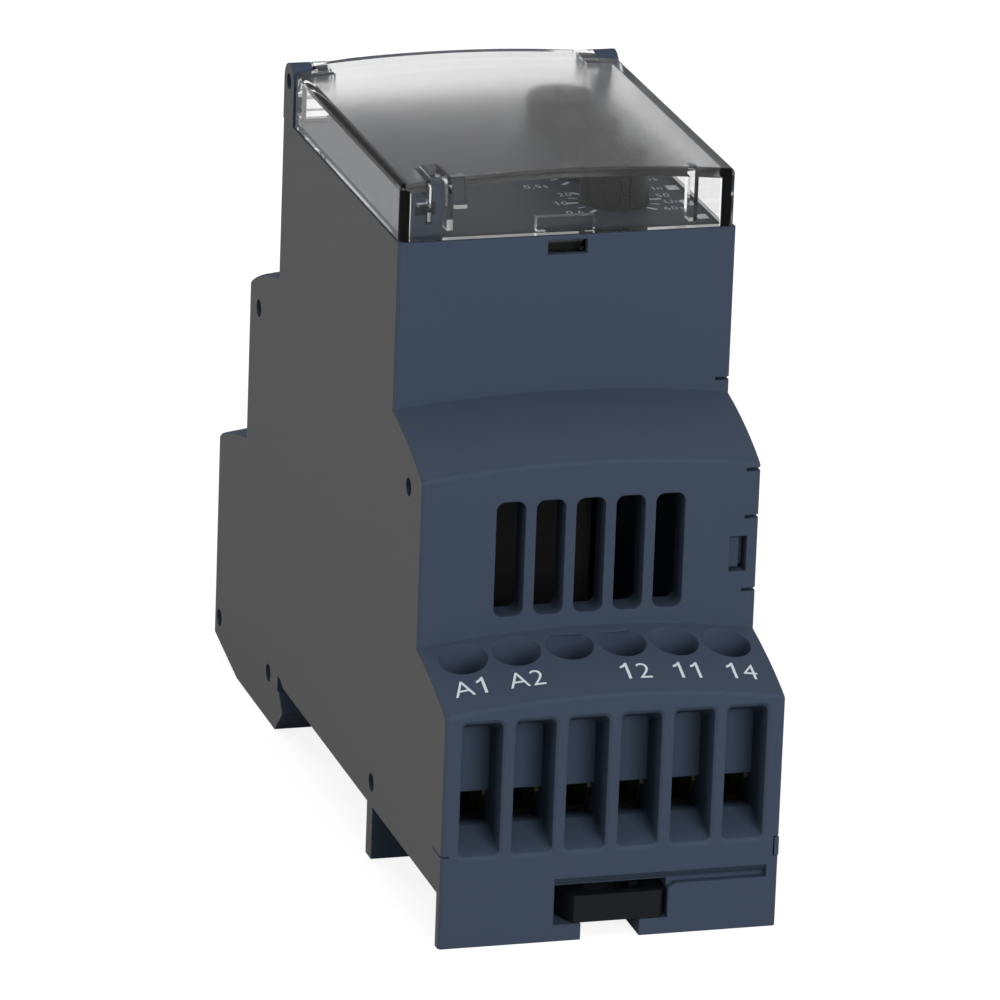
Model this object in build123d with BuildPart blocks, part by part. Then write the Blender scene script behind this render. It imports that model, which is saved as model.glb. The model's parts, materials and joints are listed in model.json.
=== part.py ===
"""Voltage monitoring relay, two modules wide, for a 35 mm mounting rail.

The origin is at the middle of the footprint, at the lowest point of the housing's feet. X runs
across the width, -Y is the end that shows in front, and +Z is up, away from the rail.
"""

from build123d import *
import os
from math import atan, cos, degrees, radians, sin, sqrt

# Overall case: side outline as depth behind the end faces and height at the side faces
width = 35.0
length = 90.0
rim_z = 66.2
waist_depth = 11.1
front_depth = 22.5
terminal_top_z = 24.3
lower_shoulder_z = 27.75
waist_top_z = 45.0
upper_shoulder_z = 48.9
lower_bulge = 0.3
upper_bulge = 0.45
crown_axis_depth = 85.0
crown_margin = 0.5
wall = 1.5
floor_z = 5.6
outer_round = 0.5
inner_round = 0.5
edge_bevel = 0.25
clearance = 0.05
loose_clearance = 0.1
cut_margin = 1.0

half_width = width / 2
half_length = length / 2
left_inside = -(half_width - wall)
side_cover_x = half_width - wall + 0.5
cavity_floor_z = floor_z + wall
waist_wall_y = half_length - waist_depth
front_wall_y = half_length - front_depth
front_inside_y = front_wall_y - wall

# Rail seat and feet
rail_seat = 35.3
rail_offset = 0.05
rail_stop_thickness = 2.05
front_plate_thickness = 1.25
hook_seat_depth = half_length + rail_offset + rail_seat / 2
rail_stop_depth = hook_seat_depth - rail_seat
rail_stop_face = rail_stop_depth - rail_stop_thickness
hook_lip_depth = hook_seat_depth - 1.55
hook_lip_z = 2.66
hook_seat_z = 4.55
hook_slot_front = hook_seat_depth - 0.4
hook_slot_depth = hook_seat_depth + 0.7
hook_slot_z = 6.2
foot_start_depth = hook_seat_depth + 1.3
foot_end_depth = length - 10.0
foot_rise = 2.0
foot_pocket_depth = (foot_start_depth + 6.0, length - 3.5)
foot_sole = 1.6

# Terminals: six at each end
terminal_count = 6
terminal_margin = 1.15
terminal_pitch = (width - 2 * terminal_margin) / terminal_count
cell_partition = 0.95
cell_width = terminal_pitch - cell_partition
cell_front_depth = 5.5
cell_bottom_z = 10.7
cell_top_z = 20.9
cell_roof = 1.0
entry_lip = 0.15
entry_width = cell_width - 2 * entry_lip
entry_bottom_z = 9.42
entry_top_z = 23.6
entry_depth = 4.6
entry_corner = 0.55
entry_bevel = 0.25
entry_bevel_angle = 55
wire_hole_bottom_z = 11.25
wire_hole_top_z = 14.8
entry_back_top_z = 21.6
screw_depth = 7.9
well_partition = 0.55
screw_well_diameter = terminal_pitch - well_partition
cage_size = cell_width - 2 * clearance
cage_wall = 0.45
cage_bottom_z = cell_bottom_z + 0.2
cage_height = 7.2
cage_floor = 0.8
cage_roof = 1.0
cage_setback = 1.5
cage_nose_z = 13.9
screw_diameter = 3.0
screw_end_z = 16.0
screw_head_diameter = screw_well_diameter - 0.7
screw_head_height = 2.0
screw_slot = 0.8
screw_slot_depth = 0.9
bar_width = 3.2
bar_thickness = 1.0
bar_bottom_z = 14.9
bar_front_depth = 6.0
bar_end_depth = 15.6

# Vents in the waist wall
vent_count = 5
vent_pitch = 4.12
vent_width = 3.05
vent_bottom_z = 30.5
vent_top_z = 42.5
vent_radius = 0.9
vent_depth = 3.1
vent_collar_margin = 1.5

# Slits and snap windows beside the right edge
slit_height = 0.35
slit_start_x = half_width - 1.5
waist_slits_z = (31.8, 39.5, 44.45)
front_slit_z = 50.3
snap_window_x = (half_width - 2.95, half_width - 1.15)
snap_window_z = (33.8, 37.5)
snap_nose_x = (half_width - 2.8, half_width - 1.8)
snap_nose_gap = 0.3
snap_nose_reach = 0.6 * wall
snap_arm_thickness = 1.2
corner_tab_z = (7.5, 9.6)
corner_tab_width = 0.6
corner_tab_gap = 0.14
seam_height = 0.15
seam_length = 3.1
seam_depth = 0.8

# Sockets in the left face, as distance from the near end and height
post_sites = ((16.0, 43.0), (26.1, 8.05), (length - 14.9, 43.1))
blind_sites = ((hook_seat_depth + 4.5, 5.2), (length - 2.0, 4.1))
socket_diameter = 1.9
socket_depth = 5.0
blind_depth = 2.5
post_diameter = 3.8
pin_diameter = 1.8
pin_length = 3.0
pin_end_gap = 0.5

# Rail clip and its guide
clip_front_depth = 0.05
clip_bottom_z = 1.8
clip_top_z = 4.65
clip_half_width = 5.4
clip_end_depth = rail_stop_depth + 1.5
clip_nose_x = (-3.6, 5.9)
clip_nose_depth = 5.2
clip_bevel_depth = 5.9
clip_bevel_bulge = 0.25
clip_round = 1.0
clip_hole_x = (-1.95, 3.95)
clip_hole_depth = (1.2, 2.9)
clip_throat_x = (-1.1, 2.9)
clip_throat_depth = 5.4
clip_slot_half = 2.6
clip_slot_end_depth = rail_stop_depth - 7.4
tooth_bevel = 1.2
guide_gap = 0.2
guide_wall = 1.4
lip_gap_x = (-2.84, 3.25)
window_x = (-5.7, 6.13)
window_bottom_z = 1.7
slit_end_x = half_width - 1.2
slit_bottom_z = 5.3
lintel_z = 6.65
lintel_bottom_z = 5.7
lintel_depth = 0.9
window_chamfer = (0.83, 0.5)
stop_depth = (9.4, 10.4)
stop_half_width = 1.2
stop_bottom_z = 2.0
spring_height = 1.5
spring_thickness = 0.35
spring_half_width = 2.0
spring_folds = 6
spring_straight = (0.3, 0.7)
spring_bend = 0.2

# Hinge ears, seal lug and latch
ear_radius = 1.9
ear_thickness = 2.2
ear_root_z = rim_z - 4.0
ear_inside = half_width - ear_thickness
hinge_y = front_wall_y - ear_radius
hinge_z = rim_z + 4.4
ear_front_y = hinge_y - ear_radius
hinge_pin_diameter = 1.9
hinge_pin_length = 1.8
ear_socket_diameter = 1.65
lug_x = (-half_width + 1.55, -half_width + 4.75)
lug_front_y = -front_inside_y
lug_back_y = lug_front_y + 3.6
lug_top_z = rim_z + 5.4
lug_low_top_z = rim_z + 4.3
lug_base_z = rim_z - 3.9
lug_slot_x = -half_width + 3.3
lug_slot_width = 0.6
lug_slot_floor_z = rim_z + 1.5
lug_hole_x = (-half_width + 1.9, -half_width + 3.95)
lug_hole_z = (rim_z + 2.45, rim_z + 3.8)
latch_window_half = 2.05
latch_window_z = (rim_z - 1.95, rim_z - 0.45)
latch_groove_half = 2.4
latch_groove_depth = 0.75
latch_groove_z = rim_z - 2.6
latch_groove_y = -front_inside_y - latch_groove_depth

# Clear cover
cover_side_gap = 0.15
cover_front_gap = 0.1
cover_bottom_gap = 0.1
cover_wall = 1.2
cover_top_z = rim_z + 6.87
cover_back_y = front_wall_y - 0.2
cover_back_z = rim_z + 1.0
cover_corner = 0.8
cover_inner_corner = 0.2
cover_edge = 0.6
cover_back_round = 1.6
cover_end_y = ear_front_y - 0.5
cover_half_width = half_width - cover_side_gap
cover_front_y = -front_wall_y + cover_front_gap
cover_inside_y = cover_front_y + cover_wall
cover_bottom_z = rim_z + cover_bottom_gap
knuckle_width = 1.7
knuckle_radius = 1.9
knuckle_x = ear_inside - 0.2
web_bottom_z = rim_z + 1.3
web_thickness = 1.0
tab_half_width = 2.0
tab_root_half = 3.0
tab_top_z = rim_z + 1.65
tab_bottom_z = rim_z - 2.0
tab_gap = 0.4
tab_y = (latch_groove_y + tab_gap, latch_groove_y + tab_gap + 1.05)
well_wall = 0.65
well_divider = 0.34
well_gap = 0.4
well_bottom_z = rim_z + 0.8
well_divider_z = rim_z + 1.8
rib_sites = ((-half_width + 5.85, 1.35, rim_z + 3.0), (half_width - 4.7, 0.85, rim_z + 0.5))
rib_reach = 1.75

# Dial plate, knobs and lamps
plate_top_z = rim_z - 0.2
plate_thickness = 1.2
plate_bottom_z = plate_top_z - plate_thickness
ledge_width = 1.2
knob_x = half_width - 9.45
knob_row_y = -1.3
knob_pitch = 9.8
knob_sites = {"delay": -knob_pitch, "hysteresis": 0.0, "threshold": knob_pitch}
knob_diameter = 7.0
knob_lift = 0.15
knob_top_z = plate_top_z + 4.8
knob_bevel = 0.25
groove_spacing = 1.1
groove_width = 0.25
groove_depth = 0.3
groove_end = 0.6
knob_slot_width = 1.0
knob_slot_depth = 1.0
knob_slot_length = 5.2
stem_diameter = 2.9
plate_hole_gap = 0.2
lamp_x = half_width - 2.15
lamp_size = (1.15, 1.5)
lamp_chip_size = (1.2, 1.6)
lamp_chip_height = 0.6
lamp_gap = 0.15
lamp_pitch = 5.05
first_lamp_y = -front_wall_y + 5.0
lamp_sites = {
    "fault": first_lamp_y,
    "output": first_lamp_y + lamp_pitch,
    "supply": first_lamp_y + 2 * lamp_pitch,
}

# Boards
board_gap = 0.4
board_thickness = 1.6
power_board_z = 10.6
power_board_top_z = power_board_z + board_thickness
power_board_half = waist_wall_y - wall - 1.2
front_board_top_z = rim_z - 4.2
front_board_bottom_z = front_board_top_z - board_thickness
front_board_y = (-front_inside_y + board_gap, ear_front_y - 0.9)
control_board_x = left_inside + 2.6
control_board_thickness = 1.2
control_board_half = front_inside_y - 3.5
pot_size = 6.6
pot_height = 2.6
stem_bottom_z = front_board_top_z + 0.7
guide_web_z = (front_board_top_z + 1.2, front_board_top_z + 2.2)

# Switching relay on the power board
relay_x = -2.0
relay_y = (-17.0, 10.5)
relay_half_width = 7.6
relay_base_height = 2.0
relay_floor_z = power_board_top_z + relay_base_height
relay_case_height = 22.3
relay_case_wall = 0.8
core_z = relay_floor_z + 7.2
core_diameter = 4.0
pole_y = 3.6
pole_reach = 0.6
winding_diameter = 8.6
bobbin_tube = 5.4
bobbin_flange = 10.0
bobbin_flange_thickness = 1.0
yoke_thickness = 1.2
yoke_width = 9.0
yoke_back_y = -14.0
yoke_height = 12.5
armature_gap = 0.7
armature_y = pole_y + armature_gap
armature_thickness = 1.0
armature_back_y = armature_y + armature_thickness
armature_width = 8.0
armature_bottom_z = relay_floor_z + 0.2
armature_height = 11.8
blade_width = 3.0
blade_thickness = 0.25
blade_bottom_z = relay_floor_z + 5.8
blade_top_z = relay_floor_z + 19.8
contact_z = relay_floor_z + 17.8
contact_diameter = 2.4
contact_height = 0.5
operated_travel = 1.5
rest_gap = 0.06
fixed_blade_thickness = 0.4

# Supply parts and control chip
transformer_x = 1.0
transformer_y = power_board_half - 10.2
transformer_width = 15.0
transformer_depth = 6.0
transformer_height = 13.0
transformer_limb = 2.6
winding_overhang = 2.4
winding_gap = 0.1
winding_round = 1.0
capacitor_diameter = 8.0
capacitor_x = relay_x + relay_half_width + 0.3 + capacitor_diameter / 2
capacitor_y = -power_board_half + 7.2
capacitor_height = 15.0
capacitor_bevel = 0.5
chip_size = 7.0
chip_height = 1.0
chip_z = 45.0

# Values worked out from the driving dimensions
crown_angle = degrees(atan(half_width / crown_axis_depth)) + crown_margin
crown_axis = Axis((0, 0, -crown_axis_depth), (0, 1, 0))
crown_plane = Plane(
    origin=(0, 0, -crown_axis_depth),
    x_dir=(0, 1, 0),
    z_dir=(cos(radians(crown_angle)), 0, sin(radians(crown_angle))),
)
head_seat_z = cell_top_z + cell_roof
clip_side_gap = clip_half_width + guide_gap
terminal_x = [(i - (terminal_count - 1) / 2) * terminal_pitch for i in range(terminal_count)]
ends = {"near": -1, "far": 1}
os.makedirs("parts", exist_ok=True)


def near(depth):
    """Y of a plane this far behind the near end face."""
    return depth - half_length


def at_end(side, depth):
    """Y of a plane this far inside the near (-1) or far (+1) end face."""
    return -side * near(depth)


def about(center, size):
    """Limits of a size that is centred on a place."""
    return (center - size / 2, center + size / 2)


def radial(z, inset=0.0):
    """Distance from the crown's axis of a surface that has this height at the side faces."""
    return sqrt((z + crown_axis_depth) ** 2 + half_width**2) - inset


def block(x, y, z, mode=Mode.ADD):
    """Box between two limits along each axis."""
    spans = [max(limits) - min(limits) for limits in (x, y, z)]
    middle = [(limits[0] + limits[1]) / 2 for limits in (x, y, z)]
    with Locations(tuple(middle)):
        return Box(*spans, mode=mode)


def finish(builder, name):
    """Label the finished piece and write it."""
    builder.part.label = name
    export_step(builder.part, f"parts/{name}.step")


def stepped_body(inset, x_limits, z_limits, face_inset=None):
    """Stepped and crowned body, moved inwards by inset and trimmed to the limits."""
    face = half_length - (inset if face_inset is None else face_inset)
    waist = waist_wall_y - inset
    front = front_wall_y - inset
    foot = crown_axis_depth - 4
    top = crown_axis_depth + rim_z + 6
    terminal_top, lower_shoulder, waist_top, upper_shoulder = (
        radial(z, inset) for z in (terminal_top_z, lower_shoulder_z, waist_top_z, upper_shoulder_z)
    )
    with BuildSketch(crown_plane) as outline:
        with BuildLine():
            if face > waist + wall / 2:
                Polyline((0, foot), (face, foot), (face, terminal_top))
                SagittaArc((face, terminal_top), (waist, lower_shoulder), -lower_bulge)
                Line((waist, lower_shoulder), (waist, waist_top))
            else:
                Polyline((0, foot), (waist, foot), (waist, waist_top))
            SagittaArc((waist, waist_top), (front, upper_shoulder), -upper_bulge)
            Polyline((front, upper_shoulder), (front, top), (0, top), (0, foot))
        make_face()
        mirror(about=Plane.YZ)
        corners = outline.vertices()
        fillet([v for v in corners if v.Y in (terminal_top, waist_top)], outer_round)
        fillet([v for v in corners if v.Y in (lower_shoulder, upper_shoulder)], inner_round)
    with BuildPart() as body:
        revolve(outline.sketch, axis=crown_axis, revolution_arc=2 * crown_angle)
        block(x_limits, (-half_length, half_length), z_limits, mode=Mode.INTERSECT)
    return body.part


def side_outline(*points):
    """Points given as depth from the near end and height, as a face on the side plane."""
    with BuildSketch(Plane.YZ) as outline:
        with BuildLine():
            Polyline(*[(near(depth), z) for depth, z in points], close=True)
        make_face()
    return outline.sketch


# Cuts that each end has: wire entries, screw wells, clamp cells, vents, slits and snap window
with BuildPart() as end_cuts:
    for x in terminal_x:
        with BuildSketch(Plane.YZ.offset(x)):
            with BuildLine():
                Polyline(
                    (near(-0.01), entry_bottom_z),
                    (near(entry_depth), wire_hole_bottom_z),
                    (near(entry_depth), entry_back_top_z),
                    (near(-0.01), entry_top_z),
                    close=True,
                )
            make_face()
        extrude(amount=entry_width / 2, both=True)
    long_edges = end_cuts.edges().filter_by(
        lambda e: abs(e.tangent_at(0.5).X) < 0.01 and abs(e.tangent_at(0.5).Y) > 0.5
    )
    fillet(long_edges, entry_corner)
    with BuildSketch(Plane.XZ.offset(half_length)):
        with Locations(*[(x, (entry_bottom_z + entry_top_z) / 2) for x in terminal_x]):
            RectangleRounded(
                entry_width + 2 * entry_bevel,
                entry_top_z - entry_bottom_z + 2 * entry_bevel,
                entry_corner + entry_bevel,
            )
    extrude(amount=-entry_bevel, taper=entry_bevel_angle)
    for x in terminal_x:
        hole_y = (near(entry_depth - 0.1), near(cell_front_depth + 0.1))
        cell_y = (near(cell_front_depth), near(waist_depth + wall + 0.1))
        block(about(x, entry_width), hole_y, (wire_hole_bottom_z, wire_hole_top_z))
        block(about(x, cell_width), cell_y, (cell_bottom_z, cell_top_z))
    with BuildSketch(Plane.XY.offset(cell_top_z - 0.1)):
        with Locations(*[(x, near(screw_depth)) for x in terminal_x]):
            Circle(screw_diameter / 2 + loose_clearance)
    extrude(amount=cell_roof + 0.2)
    with BuildSketch(Plane.XY.offset(head_seat_z)):
        with Locations(*[(x, near(screw_depth)) for x in terminal_x]):
            Circle(screw_well_diameter / 2)
    extrude(amount=lower_shoulder_z + cut_margin - head_seat_z)
    with BuildSketch(Plane.XZ.offset(waist_wall_y)):
        with Locations((0, (vent_bottom_z + vent_top_z) / 2)):
            with GridLocations(vent_pitch, 1, vent_count, 1):
                RectangleRounded(vent_width, vent_top_z - vent_bottom_z, vent_radius)
    extrude(amount=-vent_depth - 0.1)
    waist_skin = (-waist_wall_y - 0.1, -waist_wall_y + wall + 0.1)
    front_skin = (-front_wall_y - 0.1, -front_wall_y + wall + 0.1)
    for z in waist_slits_z:
        block((slit_start_x, half_width + cut_margin), waist_skin, about(z, slit_height))
    block((slit_start_x, half_width + cut_margin), front_skin, about(front_slit_z, slit_height))
    block(snap_window_x, waist_skin, snap_window_z)
far_cuts = mirror(end_cuts.part, about=Plane.XZ)


# Moulded housing: closed left wall and ends, open on the right for the side cover
outside = stepped_body(0, (-half_width, half_width), (0, rim_z))
cavity = stepped_body(
    wall,
    (left_inside, side_cover_x),
    (cavity_floor_z, rim_z + cut_margin),
    face_inset=waist_depth + wall,
)
recess = stepped_body(
    wall, (side_cover_x, half_width + cut_margin), (cavity_floor_z, rim_z + cut_margin)
)
collar_half = (vent_count - 1) / 2 * vent_pitch + vent_width / 2 + vent_collar_margin
underside = side_outline(
    (front_plate_thickness, -cut_margin),
    (front_plate_thickness, floor_z),
    (rail_stop_face, floor_z),
    (rail_stop_face, -cut_margin),
)
rail_channel = side_outline(
    (rail_stop_depth, -cut_margin),
    (rail_stop_depth, floor_z),
    (hook_lip_depth, floor_z),
    (hook_slot_front, hook_slot_z),
    (hook_slot_depth, hook_slot_z),
    (hook_slot_depth, hook_seat_z),
    (hook_seat_depth, hook_seat_z),
    (hook_lip_depth, hook_lip_z),
    (foot_start_depth, 0),
    (foot_start_depth, -cut_margin),
)
heel = side_outline(
    (foot_end_depth, 0),
    (foot_end_depth, -cut_margin),
    (length + cut_margin, -cut_margin),
    (length + cut_margin, foot_rise),
    (length, foot_rise),
)

with BuildPart() as housing:
    add(outside)
    side_faces = (housing.faces().sort_by(Axis.X)[0], housing.faces().sort_by(Axis.X)[-1])
    side_edges = [
        edge
        for face in side_faces
        for edge in face.edges()
        if 0.1 < edge.center().Z < rim_z - 0.1
    ]
    chamfer(side_edges, edge_bevel)
    for outline in (underside, rail_channel, heel):
        extrude(outline, amount=half_width + cut_margin, both=True, mode=Mode.SUBTRACT)
    add(cavity, mode=Mode.SUBTRACT)
    add(recess, mode=Mode.SUBTRACT)
    foot_pocket_y = tuple(near(depth) for depth in foot_pocket_depth)
    block(
        (left_inside, -left_inside), foot_pocket_y, (foot_sole, cavity_floor_z), mode=Mode.SUBTRACT
    )
    # Collars round the vents, joined to the waist walls
    collar_z = (vent_bottom_z - vent_collar_margin, vent_top_z + vent_collar_margin)
    for side in ends.values():
        collar_y = (side * waist_wall_y, side * (waist_wall_y - vent_depth))
        block((-collar_half, collar_half), collar_y, collar_z)
    # Guide and lips of the rail clip, under the floor
    guide_end_y = near(rail_stop_face)
    for sign, lip_end, window_end in zip((-1, 1), lip_gap_x, window_x):
        guide_x = (sign * clip_side_gap, sign * (clip_side_gap + guide_wall))
        block(guide_x, (near(clip_bevel_depth), guide_end_y), (0, floor_z))
        cheek_x = (window_end, window_end + sign * guide_wall)
        block(cheek_x, (near(front_plate_thickness), near(clip_bevel_depth)), (0, floor_z))
        lip_z = (0, clip_bottom_z - loose_clearance)
        block((lip_end, guide_x[1]), (near(front_plate_thickness), guide_end_y), lip_z)
    stop_y = tuple(near(depth) for depth in stop_depth)
    block((-stop_half_width, stop_half_width), stop_y, (stop_bottom_z, floor_z))
    # Posts across the case for the side cover's pins
    with BuildSketch(Plane.YZ.offset(left_inside - 0.1)):
        with Locations(*[(near(depth), z) for depth, z in post_sites]):
            Circle(post_diameter / 2)
    extrude(amount=side_cover_x - loose_clearance - left_inside + 0.1)
    # Ledges for the boards and the dial plate on the left wall
    ledge_x = (left_inside, left_inside + ledge_width)
    power_ledge_y = (-power_board_half + ledge_width, power_board_half - ledge_width)
    front_ledge_y = (front_board_y[0] + ledge_width, front_board_y[1] - ledge_width)
    plate_ledge_y = (lug_back_y + ledge_width, front_board_y[1] - ledge_width)
    block(ledge_x, power_ledge_y, (power_board_z - ledge_width, power_board_z))
    block(ledge_x, front_ledge_y, (front_board_bottom_z - ledge_width, front_board_bottom_z))
    block(ledge_x, plate_ledge_y, (plate_bottom_z - ledge_width, plate_bottom_z))
    # Hinge ears on both back corners
    for sign in (-1, 1):
        with BuildSketch(Plane.YZ.offset(sign * half_width)):
            with Locations((hinge_y, hinge_z)):
                Circle(ear_radius)
            with Locations((hinge_y, (rim_z + hinge_z) / 2)):
                Rectangle(2 * ear_radius, hinge_z - rim_z)
        extrude(amount=-sign * ear_thickness)
        ear_block_x = (sign * ear_inside, sign * side_cover_x)
        block(ear_block_x, (ear_front_y, front_inside_y + 0.1), (ear_root_z, rim_z + 0.1))
        with BuildSketch(Plane.YZ.offset(sign * ear_inside)):
            with Locations((hinge_y, hinge_z)):
                Circle(hinge_pin_diameter / 2)
        extrude(amount=-sign * hinge_pin_length)
        with BuildSketch(Plane.YZ.offset(sign * half_width)):
            with Locations((hinge_y, hinge_z)):
                Circle(ear_socket_diameter / 2)
        extrude(amount=-sign * ear_thickness / 2, mode=Mode.SUBTRACT)
    # Seal lug in the near left corner: two posts on one base, with a hole for the seal wire
    lug_root_y = (lug_front_y - 0.1, lug_back_y)
    block((left_inside - 0.1, lug_x[0] + 0.1), lug_root_y, (lug_base_z, rim_z))
    block((lug_x[0], lug_slot_x), lug_root_y, (lug_base_z, lug_low_top_z))
    block((lug_slot_x, lug_x[1]), lug_root_y, (lug_base_z, lug_top_z))
    lug_cut_y = (lug_front_y - cut_margin, lug_back_y + cut_margin)
    lug_slot_z = (lug_slot_floor_z, lug_top_z + cut_margin)
    block(about(lug_slot_x, lug_slot_width), lug_cut_y, lug_slot_z, mode=Mode.SUBTRACT)
    block(lug_hole_x, lug_cut_y, lug_hole_z, mode=Mode.SUBTRACT)
    # Latch groove and window, front wall
    groove_x = (-latch_groove_half, latch_groove_half)
    groove_z = (latch_groove_z, rim_z + cut_margin)
    block(groove_x, (latch_groove_y, lug_front_y + 0.1), groove_z, mode=Mode.SUBTRACT)
    window_y = (-front_wall_y - cut_margin, lug_front_y + 0.1)
    latch_window_x = (-latch_window_half, latch_window_half)
    block(latch_window_x, window_y, latch_window_z, mode=Mode.SUBTRACT)
    # Window of the rail clip in the front plate, with the slit and bevel that lead out of it
    plate_y = (near(-cut_margin), near(front_plate_thickness + 0.01))
    block(window_x, plate_y, (window_bottom_z, floor_z), mode=Mode.SUBTRACT)
    block(lip_gap_x, plate_y, (-cut_margin, window_bottom_z + 0.1), mode=Mode.SUBTRACT)
    with BuildSketch(Plane.XZ.offset(half_length)):
        Polygon(
            (window_x[1] - 0.1, slit_bottom_z - window_chamfer[1]),
            (window_x[1], slit_bottom_z - window_chamfer[1]),
            (window_x[1] + window_chamfer[0], slit_bottom_z),
            (slit_end_x, slit_bottom_z),
            (slit_end_x, lintel_bottom_z),
            (window_x[1] - 0.1, lintel_bottom_z),
            align=None,
        )
    extrude(amount=-lintel_depth, mode=Mode.SUBTRACT)
    with BuildSketch(Plane.YZ.offset((window_x[0] + slit_end_x) / 2)):
        Polygon(
            (near(-0.01), lintel_z),
            (near(lintel_depth), lintel_bottom_z),
            (near(lintel_depth), slit_bottom_z + clearance),
            (near(-0.01), slit_bottom_z + clearance),
            align=None,
        )
    extrude(amount=(slit_end_x - window_x[0]) / 2, both=True, mode=Mode.SUBTRACT)
    # Way of the clip through the rail stop
    way_y = (near(rail_stop_face - 0.1), near(rail_stop_depth + 0.1))
    way_z = (clip_bottom_z - guide_gap, clip_top_z + guide_gap)
    block((-clip_side_gap, clip_side_gap), way_y, way_z, mode=Mode.SUBTRACT)
    add(end_cuts.part, mode=Mode.SUBTRACT)
    add(far_cuts, mode=Mode.SUBTRACT)
    # Moulding sockets in the left face and pin sockets in the posts
    for sites, plane_x, depth_in in (
        (post_sites, -half_width, socket_depth),
        (blind_sites, -half_width, blind_depth),
        (post_sites, side_cover_x, -pin_length - pin_end_gap),
    ):
        with BuildSketch(Plane.YZ.offset(plane_x)):
            with Locations(*[(near(depth), z) for depth, z in sites]):
                Circle(socket_diameter / 2)
        extrude(amount=depth_in, mode=Mode.SUBTRACT)
    # Notch for the side cover's corner tab, and the seam at the left corner
    tab_notch_x = (half_width - corner_tab_width, half_width + cut_margin)
    block(tab_notch_x, (near(-cut_margin), near(wall + 0.01)), corner_tab_z, mode=Mode.SUBTRACT)
    seam_x = (-half_width - cut_margin, -half_width + seam_depth)
    seam_z = (corner_tab_z[1], corner_tab_z[1] + seam_height)
    block(seam_x, (near(-cut_margin), near(seam_length)), seam_z, mode=Mode.SUBTRACT)
finish(housing, "housing")

# Side cover that closes the right of the case
plate = stepped_body(
    wall + clearance, (side_cover_x, half_width), (cavity_floor_z + clearance, rim_z)
)
with BuildPart() as side_cover:
    add(plate)
    with BuildSketch(Plane.YZ.offset(side_cover_x + 0.1)):
        with Locations(*[(near(depth), z) for depth, z in post_sites]):
            Circle(pin_diameter / 2)
    extrude(amount=-pin_length - 0.1)
    cover_ledge_x = (side_cover_x - ledge_width, side_cover_x + 0.1)
    post_clear_y = near(post_sites[1][0]) + post_diameter / 2 + ledge_width
    lamp_clear_y = lamp_sites["supply"] + lamp_size[1] / 2 + ledge_width
    for ledge_y, top_z in (
        ((post_clear_y, power_board_half - ledge_width), power_board_z),
        (front_ledge_y, front_board_bottom_z),
        ((lamp_clear_y, front_ledge_y[1]), plate_bottom_z),
    ):
        block(cover_ledge_x, ledge_y, (top_z - ledge_width, top_z))
    arm_z = (snap_window_z[0] + snap_nose_gap, snap_window_z[1] - snap_nose_gap)
    for side in ends.values():
        arm_y = side * (waist_wall_y - wall - clearance)
        arm_span = (arm_y, arm_y - side * snap_arm_thickness)
        block((snap_nose_x[0], side_cover_x + 0.1), arm_span, arm_z)
        block(snap_nose_x, (arm_y - side * 0.1, arm_y + side * snap_nose_reach), arm_z)
    corner_z = (corner_tab_z[0] + clearance, corner_tab_z[1] - corner_tab_gap)
    corner_x = (half_width - corner_tab_width + corner_tab_gap, half_width)
    block(corner_x, (near(0), near(wall + 0.2)), corner_z)
finish(side_cover, "side_cover")


def cover_shell(inset):
    """Rounded box under the crowned top of the cover, moved inwards by inset."""
    half = cover_half_width - inset
    with BuildPart() as shell:
        block(
            (-half, half),
            (cover_front_y + inset, cover_back_y - inset),
            (cover_bottom_z, cover_top_z + cut_margin),
        )
        front_corners = shell.edges().filter_by(Axis.Z).sort_by(Axis.Y)[:2]
        fillet(front_corners, max(cover_corner - inset, cover_inner_corner))
        with Locations(Location((0, 0, -crown_axis_depth), (90, 0, 0))):
            Cylinder(crown_axis_depth + cover_top_z - inset, 3 * length, mode=Mode.INTERSECT)
    return shell.part


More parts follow.
